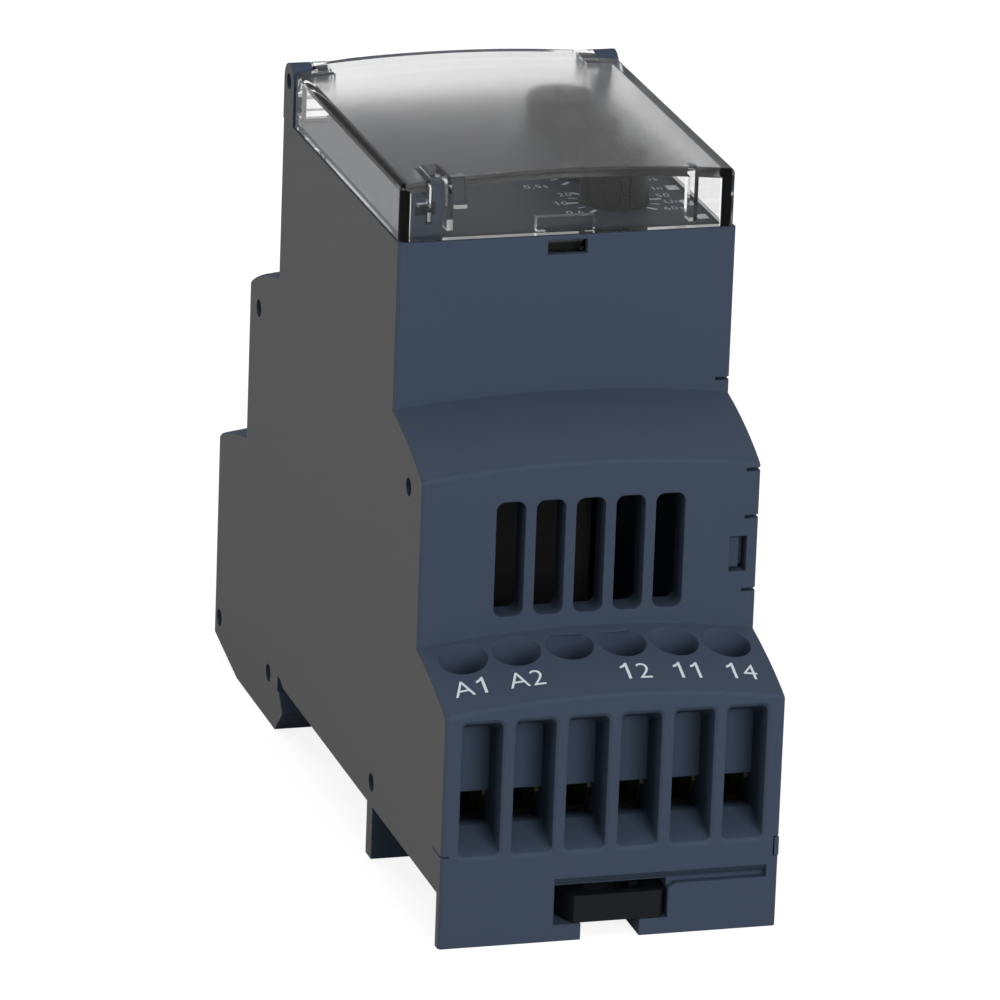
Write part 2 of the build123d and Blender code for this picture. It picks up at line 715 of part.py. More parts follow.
shell_outside = cover_shell(0)
shell_inside = cover_shell(cover_wall)
shell_top_z = cover_top_z - cover_wall
with BuildPart() as clear_cover:
    add(shell_outside)
    fillet(clear_cover.faces().sort_by(Axis.Z)[-1].edges().sort_by(Axis.Y)[-1], cover_back_round)
    top_edges = clear_cover.faces().sort_by(Axis.Z)[-1].edges()
    fillet([e for e in top_edges if e.center().Y < cover_back_y - 3], cover_edge)
    add(shell_inside, mode=Mode.SUBTRACT)
    # Closed ends of the side walls in front of the ears, and the open back behind them
    for sign in (-1, 1):
        web_x = (sign * (knuckle_x - knuckle_width), sign * (cover_half_width - 0.2))
        block(web_x, (cover_end_y - web_thickness, cover_end_y), (web_bottom_z, shell_top_z))
        block(
            (sign * knuckle_x, sign * (half_width + cut_margin)),
            (cover_end_y, cover_back_y + cut_margin),
            (rim_z, cover_top_z + cut_margin),
            mode=Mode.SUBTRACT,
        )
    block(
        (-half_width, half_width),
        (cover_end_y + 0.01, cover_back_y + cut_margin),
        (rim_z, cover_back_z),
        mode=Mode.SUBTRACT,
    )
    # Knuckles round the ear pins
    for sign in (-1, 1):
        with BuildSketch(Plane.YZ.offset(sign * knuckle_x)):
            with Locations((hinge_y, hinge_z)):
                Circle(knuckle_radius)
            with Locations((hinge_y, (hinge_z + shell_top_z) / 2)):
                Rectangle(2 * knuckle_radius, shell_top_z - hinge_z)
        extrude(amount=-sign * knuckle_width)
        with BuildSketch(Plane.YZ.offset(sign * knuckle_x)):
            with Locations((hinge_y, hinge_z)):
                Circle(hinge_pin_diameter / 2 + clearance)
        extrude(amount=-sign * knuckle_width, mode=Mode.SUBTRACT)
    # Latch tab behind the front wall, with its broad root
    block((-tab_half_width, tab_half_width), tab_y, (tab_bottom_z, tab_top_z))
    root_y = (cover_front_y + 0.5, tab_y[1])
    block((-tab_root_half, tab_root_half), root_y, (cover_bottom_z + 0.1, tab_top_z))
    # Ribs behind the front wall
    for rib_x, rib_width, rib_z in rib_sites:
        rib_y = (cover_inside_y - 0.1, cover_inside_y + rib_reach)
        block((rib_x, rib_x + rib_width), rib_y, (rib_z, shell_top_z))
    # Well round the taller post of the seal lug, open at the top; its left wall stands in the slot
    well_left = lug_slot_x + well_divider / 2
    well_right = lug_x[1] + well_gap
    well_back = lug_back_y + well_gap
    well_y = (cover_inside_y - 0.1, well_back + well_wall)
    block(about(lug_slot_x, well_divider), well_y, (well_divider_z, shell_top_z))
    block((well_right, well_right + well_wall), well_y, (well_bottom_z, shell_top_z))
    back_x = (lug_slot_x - well_divider / 2, well_right + well_wall)
    block(back_x, (well_back, well_back + well_wall), (well_bottom_z, shell_top_z))
    block(
        (well_left, well_right),
        (cover_inside_y, well_back),
        (shell_top_z - cut_margin, cover_top_z + cut_margin),
        mode=Mode.SUBTRACT,
    )
finish(clear_cover, "clear_cover")

# Dial plate
with BuildPart() as dial_plate:
    plate_z = (plate_bottom_z, plate_top_z)
    block(
        (left_inside + loose_clearance, side_cover_x - loose_clearance),
        (-front_inside_y + loose_clearance, front_inside_y - loose_clearance),
        plate_z,
    )
    lug_room = (-half_width, lug_x[1] + loose_clearance)
    lug_room_y = (-front_wall_y, lug_back_y + loose_clearance)
    block(lug_room, lug_room_y, plate_z, mode=Mode.SUBTRACT)
    block(groove_x, (-front_wall_y, tab_y[1] + tab_gap), plate_z, mode=Mode.SUBTRACT)
    for sign in (-1, 1):
        ear_room = (sign * (ear_inside - loose_clearance), sign * half_width)
        block(ear_room, (ear_front_y - loose_clearance, front_wall_y), plate_z, mode=Mode.SUBTRACT)
    for y in lamp_sites.values():
        window = [size + 2 * clearance for size in lamp_size]
        block(about(lamp_x, window[0]), about(y, window[1]), plate_z, mode=Mode.SUBTRACT)
    with Locations(*[(knob_x, knob_row_y + y, plate_top_z) for y in knob_sites.values()]):
        Hole(stem_diameter / 2 + plate_hole_gap)
finish(dial_plate, "dial_plate")

# Setting knobs and the trimmers that they turn
for name, offset_y in knob_sites.items():
    y = knob_row_y + offset_y
    with BuildPart() as knob:
        with BuildSketch(Plane.XY.offset(plate_top_z + knob_lift)):
            with Locations((knob_x, y)):
                Circle(knob_diameter / 2)
        extrude(amount=knob_top_z - plate_top_z - knob_lift)
        chamfer(knob.faces().sort_by(Axis.Z)[-1].edges(), knob_bevel)
        with BuildSketch(Plane.XY.offset(stem_bottom_z)):
            with Locations((knob_x, y)):
                Circle(stem_diameter / 2)
        extrude(amount=plate_top_z + knob_lift + 0.1 - stem_bottom_z)
        with BuildSketch(Plane.XY.offset(knob_top_z)):
            with Locations((knob_x, y)):
                SlotOverall(knob_slot_length, knob_slot_width, rotation=90)
        extrude(amount=-knob_slot_depth, mode=Mode.SUBTRACT)
        with BuildSketch(Plane.XY.offset(plate_top_z)):
            with Locations((knob_x, y - knob_diameter / 2)):
                with GridLocations(groove_spacing, 1, 2, 1):
                    Rectangle(groove_width, 2 * groove_depth)
        extrude(amount=knob_top_z - plate_top_z - groove_end, mode=Mode.SUBTRACT)
    finish(knob, f"{name}_knob")
    with BuildPart() as trimmer:
        pot_z = (front_board_top_z, front_board_top_z + pot_height)
        block(about(knob_x, pot_size), about(y, pot_size), pot_z)
        with Locations((knob_x, y, pot_z[1])):
            Hole(stem_diameter / 2 + clearance)
    finish(trimmer, f"{name}_trimmer")

# Lamp chips and the light guide over them
with BuildPart() as light_guide:
    guide_foot_z = front_board_top_z + lamp_chip_height + lamp_gap
    for y in lamp_sites.values():
        block(about(lamp_x, lamp_size[0]), about(y, lamp_size[1]), (guide_foot_z, plate_top_z))
    web_y = (lamp_sites["fault"], lamp_sites["supply"])
    block(about(lamp_x, lamp_size[0]), web_y, guide_web_z)
finish(light_guide, "light_guide")
for name, y in lamp_sites.items():
    with BuildPart() as lamp:
        chip_stack = (front_board_top_z, front_board_top_z + lamp_chip_height)
        block(about(lamp_x, lamp_chip_size[0]), about(y, lamp_chip_size[1]), chip_stack)
    finish(lamp, f"{name}_lamp")

# Boards
board_x = (left_inside + board_gap, side_cover_x - board_gap)
with BuildPart() as front_board:
    block(board_x, front_board_y, (front_board_bottom_z, front_board_top_z))
finish(front_board, "front_board")
with BuildPart() as power_board:
    power_board_y = (-power_board_half, power_board_half)
    block(board_x, power_board_y, (power_board_z, power_board_top_z))
finish(power_board, "power_board")
with BuildPart() as control_board:
    chip_face_x = control_board_x + control_board_thickness
    control_y = (-control_board_half, control_board_half)
    block((control_board_x, chip_face_x), control_y, (power_board_top_z, front_board_bottom_z))
finish(control_board, "control_board")
with BuildPart() as control_chip:
    chip_x = (chip_face_x, chip_face_x + chip_height)
    block(chip_x, about(0, chip_size), about(chip_z, chip_size))
finish(control_chip, "control_chip")

# Rail clip and its spring
with BuildPart() as rail_clip:
    with BuildSketch(Plane.XY.offset(clip_bottom_z)) as clip_plan:
        with BuildLine():
            nose_y = near(clip_front_depth)
            left_front = (-clip_half_width, near(clip_bevel_depth))
            Polyline(
                (clip_nose_x[0], nose_y),
                (clip_nose_x[1], nose_y),
                (clip_nose_x[1], near(clip_nose_depth)),
                (clip_half_width, near(clip_nose_depth)),
                (clip_half_width, near(clip_end_depth)),
                (-clip_half_width, near(clip_end_depth)),
                left_front,
            )
            SagittaArc(left_front, (clip_nose_x[0], nose_y), -clip_bevel_bulge)
        make_face()
        fillet(clip_plan.vertices().sort_by_distance((clip_nose_x[1], nose_y))[0], clip_round)
    extrude(amount=clip_top_z - clip_bottom_z)
    chamfer(rail_clip.edges().group_by(Axis.Y)[-1].sort_by(Axis.Z)[0], tooth_bevel)
    with BuildSketch(Plane.XY.offset(clip_bottom_z)):
        with BuildLine():
            Polyline(
                (clip_hole_x[0], near(clip_hole_depth[0])),
                (clip_hole_x[1], near(clip_hole_depth[0])),
                (clip_hole_x[1], near(clip_hole_depth[1])),
                (clip_throat_x[1], near(clip_hole_depth[1])),
                (clip_throat_x[1], near(clip_throat_depth)),
                (clip_throat_x[0], near(clip_throat_depth)),
                (clip_throat_x[0], near(clip_hole_depth[1])),
                (clip_hole_x[0], near(clip_hole_depth[1])),
                close=True,
            )
        make_face()
    extrude(amount=clip_top_z - clip_bottom_z, mode=Mode.SUBTRACT)
    slot_y = (near(stop_depth[0] - clearance), near(clip_slot_end_depth))
    clip_z = (clip_bottom_z, clip_top_z)
    block((-clip_slot_half, clip_slot_half), slot_y, clip_z, mode=Mode.SUBTRACT)
finish(rail_clip, "rail_clip")
with BuildPart() as clip_spring:
    start_y = near(stop_depth[1]) + clearance
    run = (near(clip_slot_end_depth) - clearance - start_y) / spring_folds
    corners = [(0, start_y + spring_thickness / 2)]
    for fold in range(spring_folds):
        bend_x = spring_half_width if fold % 2 else -spring_half_width
        corners += [(bend_x, start_y + (fold + share) * run) for share in spring_straight]
    corners.append((0, start_y + spring_folds * run - spring_thickness / 2))
    with BuildSketch(Plane.XY.offset((clip_bottom_z + clip_top_z - spring_height) / 2)):
        with BuildLine():
            FilletPolyline(*corners, radius=spring_bend)
        trace(line_width=spring_thickness)
    extrude(amount=spring_height)
finish(clip_spring, "clip_spring")

# Terminals: clamp cages, screws and bars at both ends
cage_front_depth = screw_depth - cage_size / 2
cage_back_depth = screw_depth + cage_size / 2
cage_top_z = cage_bottom_z + cage_height
bar_top_z = bar_bottom_z + bar_thickness
for end, side in ends.items():
    with BuildPart() as bars:
        bar_y = (at_end(side, bar_front_depth), at_end(side, bar_end_depth))
        leg_y = (at_end(side, bar_end_depth - bar_thickness), at_end(side, bar_end_depth))
        for x in terminal_x:
            block(about(x, bar_width), bar_y, (bar_bottom_z, bar_top_z))
            block(about(x, bar_width), leg_y, (power_board_top_z, bar_top_z))
    finish(bars, f"{end}_terminal_bars")
    screw_y = at_end(side, screw_depth)
    for number, x in enumerate(terminal_x, start=1):
        with BuildPart() as cage:
            with BuildSketch(Plane.YZ.offset(x)):
                with BuildLine():
                    Polyline(
                        (at_end(side, cage_front_depth), cage_nose_z),
                        (at_end(side, cage_front_depth), cage_top_z),
                        (at_end(side, cage_back_depth), cage_top_z),
                        (at_end(side, cage_back_depth), cage_bottom_z),
                        (at_end(side, cage_front_depth + cage_setback), cage_bottom_z),
                        close=True,
                    )
                make_face()
            extrude(amount=cage_size / 2, both=True)
            block(
                about(x, cage_size - 2 * cage_wall),
                about(screw_y, 2 * cage_size),
                (cage_bottom_z + cage_floor, cage_top_z - cage_roof),
                mode=Mode.SUBTRACT,
            )
            with Locations((x, screw_y, cage_top_z)):
                Hole(screw_diameter / 2 + clearance, depth=cage_roof + 0.1)
        finish(cage, f"{end}_clamp_cage_{number}")
        with BuildPart() as screw:
            with BuildSketch(Plane.XY.offset(screw_end_z)):
                with Locations((x, screw_y)):
                    Circle(screw_diameter / 2)
            extrude(amount=head_seat_z - screw_end_z)
            with BuildSketch(Plane.XY.offset(head_seat_z)):
                with Locations((x, screw_y)):
                    Circle(screw_head_diameter / 2)
            extrude(amount=screw_head_height)
            head_top_z = head_seat_z + screw_head_height
            block(
                about(x, screw_slot),
                about(screw_y, 2 * screw_head_diameter),
                (head_top_z - screw_slot_depth, head_top_z + cut_margin),
                mode=Mode.SUBTRACT,
            )
        finish(screw, f"{end}_terminal_screw_{number}")

# Switching relay
relay_sides = about(relay_x, 2 * relay_half_width)
with BuildPart() as relay_base:
    block(relay_sides, relay_y, (power_board_top_z, relay_floor_z))
finish(relay_base, "relay_base")
with BuildPart() as relay_case:
    block(relay_sides, relay_y, (relay_floor_z, relay_floor_z + relay_case_height))
    fillet(relay_case.edges().filter_by(Axis.Z), 1.5 * relay_case_wall)
    offset(amount=-relay_case_wall, openings=relay_case.faces().sort_by(Axis.Z)[0])
finish(relay_case, "relay_case")
with BuildPart() as relay_core:
    with BuildSketch(Plane.XZ.offset(-pole_y)):
        with Locations((relay_x, core_z)):
            Circle(core_diameter / 2)
    extrude(amount=pole_y - yoke_back_y)
finish(relay_core, "relay_core")
with BuildPart() as relay_yoke:
    yoke_x = about(relay_x, yoke_width)
    yoke_back = (yoke_back_y, yoke_back_y + yoke_thickness)
    yoke_foot_z = (relay_floor_z, relay_floor_z + yoke_thickness)
    block(yoke_x, (yoke_back_y, armature_y - loose_clearance), yoke_foot_z)
    block(yoke_x, yoke_back, (relay_floor_z, relay_floor_z + yoke_height))
    with BuildSketch(Plane.XZ.offset(-yoke_back_y)):
        with Locations((relay_x, core_z)):
            Circle(core_diameter / 2)
    extrude(amount=-yoke_thickness, mode=Mode.SUBTRACT)
finish(relay_yoke, "relay_yoke")
bobbin_y = (yoke_back[1], pole_y - pole_reach)
with BuildPart() as relay_bobbin:
    for y in (bobbin_y[0] + bobbin_flange_thickness / 2, bobbin_y[1] - bobbin_flange_thickness / 2):
        flange_y = about(y, bobbin_flange_thickness)
        block(about(relay_x, bobbin_flange), flange_y, about(core_z, bobbin_flange))
    with BuildSketch(Plane.XZ.offset(-bobbin_y[1])):
        with Locations((relay_x, core_z)):
            Circle(bobbin_tube / 2)
    extrude(amount=bobbin_y[1] - bobbin_y[0])
    with BuildSketch(Plane.XZ.offset(-bobbin_y[1])):
        with Locations((relay_x, core_z)):
            Circle(core_diameter / 2 + clearance)
    extrude(amount=bobbin_y[1] - bobbin_y[0], mode=Mode.SUBTRACT)
finish(relay_bobbin, "relay_bobbin")
with BuildPart() as relay_winding:
    with BuildSketch(Plane.XZ.offset(-(bobbin_y[1] - bobbin_flange_thickness))):
        with Locations((relay_x, core_z)):
            Circle(winding_diameter / 2)
            Circle(bobbin_tube / 2, mode=Mode.SUBTRACT)
    extrude(amount=bobbin_y[1] - bobbin_y[0] - 2 * bobbin_flange_thickness)
finish(relay_winding, "relay_winding")
with BuildPart() as relay_armature:
    pivot_radius = armature_thickness / 2
    with BuildSketch(Plane.YZ.offset(relay_x)):
        with Locations((armature_y + pivot_radius, armature_bottom_z + pivot_radius)):
            Circle(pivot_radius)
            Rectangle(
                armature_thickness, armature_height - pivot_radius, align=(Align.CENTER, Align.MIN)
            )
    extrude(amount=armature_width / 2, both=True)
finish(relay_armature, "relay_armature")
blade_x = about(relay_x, blade_width)
with BuildPart() as moving_contact:
    blade_y = (armature_back_y, armature_back_y + blade_thickness)
    block(blade_x, blade_y, (blade_bottom_z, blade_top_z))
    with BuildSketch(Plane.XZ.offset(-blade_y[1] - contact_height)):
        with Locations((relay_x, contact_z)):
            Circle(contact_diameter / 2)
    extrude(amount=2 * contact_height + blade_thickness)
finish(moving_contact, "relay_moving_contact")
with BuildPart() as rest_contact:
    rest_blade_y = blade_y[1] + 2 * contact_height + rest_gap
    rest_span = (rest_blade_y, rest_blade_y + fixed_blade_thickness)
    block(blade_x, rest_span, (relay_floor_z, blade_top_z))
    with BuildSketch(Plane.XZ.offset(-rest_blade_y)):
        with Locations((relay_x, contact_z)):
            Circle(contact_diameter / 2)
    extrude(amount=contact_height)
finish(rest_contact, "relay_rest_contact")
with BuildPart() as work_contact:
    work_face_y = armature_back_y - contact_height - operated_travel
    work_blade_y = work_face_y - contact_height
    work_span = (work_blade_y - fixed_blade_thickness, work_blade_y)
    block(blade_x, work_span, (core_z + bobbin_flange / 2, blade_top_z))
    with BuildSketch(Plane.XZ.offset(-work_face_y)):
        with Locations((relay_x, contact_z)):
            Circle(contact_diameter / 2)
    extrude(amount=contact_height)
finish(work_contact, "relay_work_contact")

# Supply transformer and reservoir capacitor
core_window = (transformer_width - 4 * transformer_limb) / 2
with BuildPart() as transformer_core:
    with BuildSketch(Plane.XZ.offset(-transformer_y)):
        with Locations((transformer_x, power_board_top_z + transformer_height / 2)):
            Rectangle(transformer_width, transformer_height)
            with GridLocations(core_window + 2 * transformer_limb, 1, 2, 1):
                window_height = transformer_height - 2 * transformer_limb
                Rectangle(core_window, window_height, mode=Mode.SUBTRACT)
    extrude(amount=transformer_depth / 2, both=True)
finish(transformer_core, "transformer_core")
with BuildPart() as transformer_winding:
    winding_foot_z = power_board_top_z + transformer_limb + winding_gap
    winding_z = (winding_foot_z, winding_foot_z + window_height - 2 * winding_gap)
    winding_x = about(transformer_x, 2 * (transformer_limb + core_window - winding_gap))
    winding_y = about(transformer_y, transformer_depth + 2 * winding_overhang)
    block(winding_x, winding_y, winding_z)
    fillet(transformer_winding.edges().filter_by(Axis.Z), winding_round)
    limb_x = about(transformer_x, 2 * (transformer_limb + clearance))
    limb_y = about(transformer_y, transformer_depth + 2 * clearance)
    block(limb_x, limb_y, winding_z, mode=Mode.SUBTRACT)
finish(transformer_winding, "transformer_winding")
with BuildPart() as power_capacitor:
    with BuildSketch(Plane.XY.offset(power_board_top_z)):
        with Locations((capacitor_x, capacitor_y)):
            Circle(capacitor_diameter / 2)
    extrude(amount=capacitor_height)
    chamfer(power_capacitor.faces().sort_by(Axis.Z)[-1].edges(), capacitor_bevel)
finish(power_capacitor, "power_capacitor")
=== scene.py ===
"""Looks of the voltage monitoring relay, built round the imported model. Lengths are in metres."""

import json
import math

import bmesh
import bpy
from mathutils import Matrix, Vector
from mathutils.bvhtree import BVHTree


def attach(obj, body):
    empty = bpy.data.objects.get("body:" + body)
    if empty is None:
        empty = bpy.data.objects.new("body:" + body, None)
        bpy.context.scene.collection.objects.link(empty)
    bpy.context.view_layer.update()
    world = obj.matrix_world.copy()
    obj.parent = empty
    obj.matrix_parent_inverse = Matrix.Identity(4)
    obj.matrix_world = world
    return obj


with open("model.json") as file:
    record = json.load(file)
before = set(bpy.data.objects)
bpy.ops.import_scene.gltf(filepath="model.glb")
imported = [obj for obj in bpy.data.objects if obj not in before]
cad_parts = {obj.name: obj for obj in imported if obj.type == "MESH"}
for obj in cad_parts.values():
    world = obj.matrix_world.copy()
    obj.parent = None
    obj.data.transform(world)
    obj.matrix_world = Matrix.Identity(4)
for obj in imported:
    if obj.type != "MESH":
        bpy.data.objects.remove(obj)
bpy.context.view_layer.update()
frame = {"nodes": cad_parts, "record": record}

MM = 0.001

# Camera, fitted to the straight edges of the photograph
CAMERA_PLACE = (-0.24760, -0.82849, 0.32353)
CAMERA_YAW = 0.29115
CAMERA_PITCH = 0.32633
CAMERA_ROLL = 0.03713
FOCAL_PIXELS = 8870.0
IMAGE_PIXELS = 1000.0
SENSOR_WIDTH = 36.0
CLIP_START = 0.05

# Colours as they show on a screen, 0 to 255
HOUSING_BLUE = (60, 71, 88)
# Painted light: neutral grey laid on the housing's flat outer sides in place of the housing blue,
# for the light falling there
PAINTED_SIDE_LIGHT = (98, 98, 98)
CLIP_BLACK = (20, 23, 27)
KNOB_BLACK = (32, 34, 32)
DIAL_DARK = (50, 57, 70)
PRINT_PALE = (214, 222, 230)
LAMP_WHITE = (222, 228, 236)
CAGE_METAL = (150, 140, 120)
ZINC_METAL = (150, 152, 155)
COPPER_METAL = (190, 120, 80)
TINNED_METAL = (190, 180, 165)
IRON_METAL = (140, 140, 142)
BOARD_GREEN = (30, 78, 52)
RELAY_BLACK = (34, 34, 36)
CAN_BLUE = (52, 56, 84)

# Grain and uneven tone of the surfaces: noise scales, depth of the bump, and tones as shares
GRAIN_DETAIL = 3.0
PLASTIC_GRAIN_DEPTH = 0.00005
PLASTIC_TONE_SCALE = 60.0
PLASTIC_TONES = (0.96, 1.04)
METAL_GRAIN_SCALE = 2500.0
METAL_GRAIN_STRENGTH = 0.08
METAL_GRAIN_DEPTH = 0.00003
METAL_ROUGHNESS_SPREAD = 0.08
INK_ROUGHNESS = 0.6
INK_TONE_SCALE = 3000.0
INK_TONES = (0.85, 1.0)

# Housing; its flat outer sides get a painted neutral grey, painted light in place of the light
# falling on them
HOUSING_ROUGHNESS = 0.62
HOUSING_SPECULAR = 0.22
HOUSING_GRAIN_SCALE = 3500.0
HOUSING_GRAIN_STRENGTH = 0.14
HOUSING_GRAIN_DEPTH = 0.00006
HOUSING_TONE_SCALE = 45.0
HOUSING_TONES = (0.97, 1.03)
SIDE_TONES = (0.93, 1.07)
SIDE_FACING_X = 0.985
SIDE_FROM_X = 0.0172
SOFT_EDGE_RADIUS = 0.00014
SOFT_EDGE_SAMPLES = 4

# Clear cover, frosted over the top, where it faces up by FROST_FACING_Z
COVER_IOR = 1.32
COVER_WAVE_SCALE = 40.0
COVER_WAVE_STRENGTH = 0.02
COVER_WAVE_DEPTH = 0.00002
CLEAR_ROUGHNESS = 0.01
FROST_ROUGHNESS = (0.26, 0.13)
FROST_Y = (-0.02, 0.02)
FROST_FROM_Z = 0.0688
FROST_FACING_Z = (0.9, 0.97)

# Printing on the lower shoulder: text, x and y in mm
LABELS = (
    ("A1", -13.92, -41.49),
    ("A2", -8.32, -41.54),
    ("12", 2.73, -41.77),
    ("11", 8.21, -41.82),
    ("14", 13.78, -41.71),
)
LABEL_HEIGHT = 2.3

# Printing on the dial plate: text, x and y in mm
DIAL_TEXTS = (
    ("0,6", 3.04, -14.2),
    ("10", 2.5, -10.95),
    ("20", 3.75, -8.04),
    ("50", 13.51, -9.9),
    ("60s", 13.4, -14.3),
    ("Un", 13.9, -12.1),
    ("In", 13.7, -7.4),
    ("0,5s", 1.64, -4.9),
    ("5", 2.9, -1.2),
    ("10", 4.0, 1.9),
    ("20", 12.7, 1.4),
    ("30s", 13.6, -4.2),
    ("50", 2.9, 5.3),
    ("100", 2.3, 8.6),
    ("200", 3.6, 11.8),
    ("400", 12.9, 11.6),
    ("500", 13.9, 8.4),
)
DIAL_TEXT_HEIGHT = 1.2
DIAL_TEXT_WIDE = 0.85

# Scales round the knobs, in mm and degrees; ticks are long and thick, or short and thin, by turns
KNOB_X = 8.05
DIAL_YS = (-11.1, -1.3, 8.5)
DIAL_START = 225
DIAL_SWEEP = 270
DIAL_STEPS = 12
TICK_INNER = 3.75
TICK_OUTERS = (4.95, 4.65)
TICK_WIDTHS = (0.4, 0.22)

# Letters of the printing, in units of their height
DIGIT_WIDTH = 0.78
LETTER_WIDTHS = {"A": 0.92, "U": 0.98, "I": 0.42, "n": 0.76, "s": 0.68, ",": 0.36}
LETTER_SIZE = 1.38
LETTER_RESOLUTION = 4
LETTER_THINNING = -0.01
ONE_OUTLINE = (
    (0.39, 0.0),
    (0.52, 0.0),
    (0.52, 1.0),
    (0.43, 1.0),
    (0.33, 0.88),
    (0.16, 0.77),
    (0.16, 0.65),
    (0.28, 0.70),
    (0.39, 0.78),
)
PRINT_LIFT = 0.00003
PRINT_STEP = 0.0004
PRINT_FROM_Z = 0.2

# Floor and surroundings: their light, and how bright they look off gloss and through glass
FLOOR_SIZE = 6.0
FLOOR_COLOUR = (0.32, 0.32, 0.32, 1.0)
FLOOR_LIFT = 0.85
FLOOR_GLOSS = 0.1
FLOOR_GLASS = 1.0
WORLD_LIGHT = 0.28
SKY_GLOSS = 0.3
SKY_GLASS = 0.4

# Lamps: name, place, size, power, and whether gloss and glass mirror them
LAMP_TARGET = (0, 0, 0.03)
LAMPS = (
    ("key", (0.2, -1.0, 0.35), 0.5, 7.0, False),
    ("left", (-1.0, -0.2, 0.2), 0.8, 4.6, True),
    ("right", (1.0, -0.2, 0.2), 0.8, 3.0, True),
    ("top", (0.0, -0.4, 1.1), 0.8, 2.0, True),
    ("back", (-0.2, 1.0, 0.35), 0.6, 5.0, False),
)


def linear(colour, share=1.0):
    """Screen colour, 0 to 255, as the linear RGBA that a shader takes, times a share."""
    parts = [c / 255 for c in colour]
    light = [p / 12.92 if p <= 0.04045 else ((p + 0.055) / 1.055) ** 2.4 for p in parts]
    return tuple(c * share for c in light) + (1.0,)


def new_material(name):
    """Material with its node tree, and its Principled shader."""
    material = bpy.data.materials.new(name)
    material.use_nodes = True
    tree = material.node_tree
    return material, tree, tree.nodes["Principled BSDF"]


def connect(tree, node, inputs):
    """Fill inputs of a node, each with a fixed value or with another node's output."""
    for socket, value in inputs.items():
        if isinstance(value, bpy.types.NodeSocket):
            tree.links.new(value, node.inputs[socket])
        else:
            node.inputs[socket].default_value = value
    return node


def add_node(tree, kind, inputs):
    """New node with some of its inputs filled."""
    return connect(tree, tree.nodes.new(kind), inputs)


def calculate(tree, operation, *values):
    """Result of a math node on fixed values or other nodes' outputs."""
    node = tree.nodes.new("ShaderNodeMath")
    node.operation = operation
    return connect(tree, node, dict(enumerate(values))).outputs["Value"]


def mixed(tree, factor, first, second):
    """Colour between two colours, each fixed or another node's output."""
    node = tree.nodes.new("ShaderNodeMix")
    node.data_type = "RGBA"
    return connect(tree, node, {"Factor": factor, "A": first, "B": second}).outputs["Result"]


def toned(tree, factor, colour, tones):
    """One colour between a dark and a light share of it."""
    return mixed(tree, factor, linear(colour, tones[0]), linear(colour, tones[1]))


def object_place(tree):
    """Place on the object, in its own axes."""
    return tree.nodes.new("ShaderNodeTexCoord").outputs["Object"]


def noise_at(tree, place, scale, detail=2.0):
    """Noise between 0 and 1 at a place."""
    inputs = {"Vector": place, "Scale": scale, "Detail": detail}
    return add_node(tree, "ShaderNodeTexNoise", inputs).outputs["Fac"]


def along_axes(tree, vector):
    """Parts of a vector along x, y and z."""
    return add_node(tree, "ShaderNodeSeparateXYZ", {"Vector": vector}).outputs


def facing(tree):
    """Parts of the flat face's normal along the object's own x, y and z."""
    geometry = tree.nodes.new("ShaderNodeNewGeometry")
    normal = tree.nodes.new("ShaderNodeVectorTransform")
    normal.vector_type = "NORMAL"
    normal.convert_from = "WORLD"
    normal.convert_to = "OBJECT"
    connect(tree, normal, {"Vector": geometry.outputs["True Normal"]})
    return along_axes(tree, normal.outputs["Vector"])


def add_grain(tree, shader, place, scale, strength, depth):
    """Fine moulded grain as bump; gives back its noise and the bump node."""
    noise = noise_at(tree, place, scale, GRAIN_DETAIL)
    inputs = {"Strength": strength, "Distance": depth, "Height": noise}
    bump = add_node(tree, "ShaderNodeBump", inputs)
    connect(tree, shader, {"Normal": bump.outputs["Normal"]})
    return noise, bump


def plastic(name, colour, roughness=0.5, grain=4000.0, strength=0.12, specular=0.3):
    """Moulded plastic with a fine grain and a slight, broad change of tone."""
    material, tree, shader = new_material(name)
    place = object_place(tree)
    add_grain(tree, shader, place, grain, strength, PLASTIC_GRAIN_DEPTH)
    tone = toned(tree, noise_at(tree, place, PLASTIC_TONE_SCALE), colour, PLASTIC_TONES)
    inputs = {"Roughness": roughness, "Specular IOR Level": specular, "Base Color": tone}
    connect(tree, shader, inputs)
    return material


def housing_plastic(name):
    """Blue-grey moulded plastic; its flat outer sides show a painted neutral, coarser grained grey,
    painted light in place of the light falling on them.
    """
    material, tree, shader = new_material(name)
    place = object_place(tree)
    noise, bump = add_grain(
        tree, shader, place, HOUSING_GRAIN_SCALE, HOUSING_GRAIN_STRENGTH, HOUSING_GRAIN_DEPTH
    )
    soft_edge = add_node(tree, "ShaderNodeBevel", {"Radius": SOFT_EDGE_RADIUS})
    soft_edge.samples = SOFT_EDGE_SAMPLES
    connect(tree, bump, {"Normal": soft_edge.outputs["Normal"]})
    # Painted light: on the flat outer sides facing along x, the housing blue gives way to a painted
    # grey for the light falling there
    sideways = calculate(tree, "ABSOLUTE", facing(tree)["X"])
    outward = calculate(tree, "ABSOLUTE", along_axes(tree, place)["X"])
    painted_side_light_mask = calculate(
        tree,
        "MULTIPLY",
        calculate(tree, "GREATER_THAN", sideways, SIDE_FACING_X),
        calculate(tree, "GREATER_THAN", outward, SIDE_FROM_X),
    )
    blue = toned(tree, noise_at(tree, place, HOUSING_TONE_SCALE), HOUSING_BLUE, HOUSING_TONES)
    grey = toned(tree, noise, PAINTED_SIDE_LIGHT, SIDE_TONES)
    connect(
        tree,
        shader,
        {
            "Roughness": HOUSING_ROUGHNESS,
            "Specular IOR Level": HOUSING_SPECULAR,
            "Base Color": mixed(tree, painted_side_light_mask, blue, grey),
        },
    )
    return material


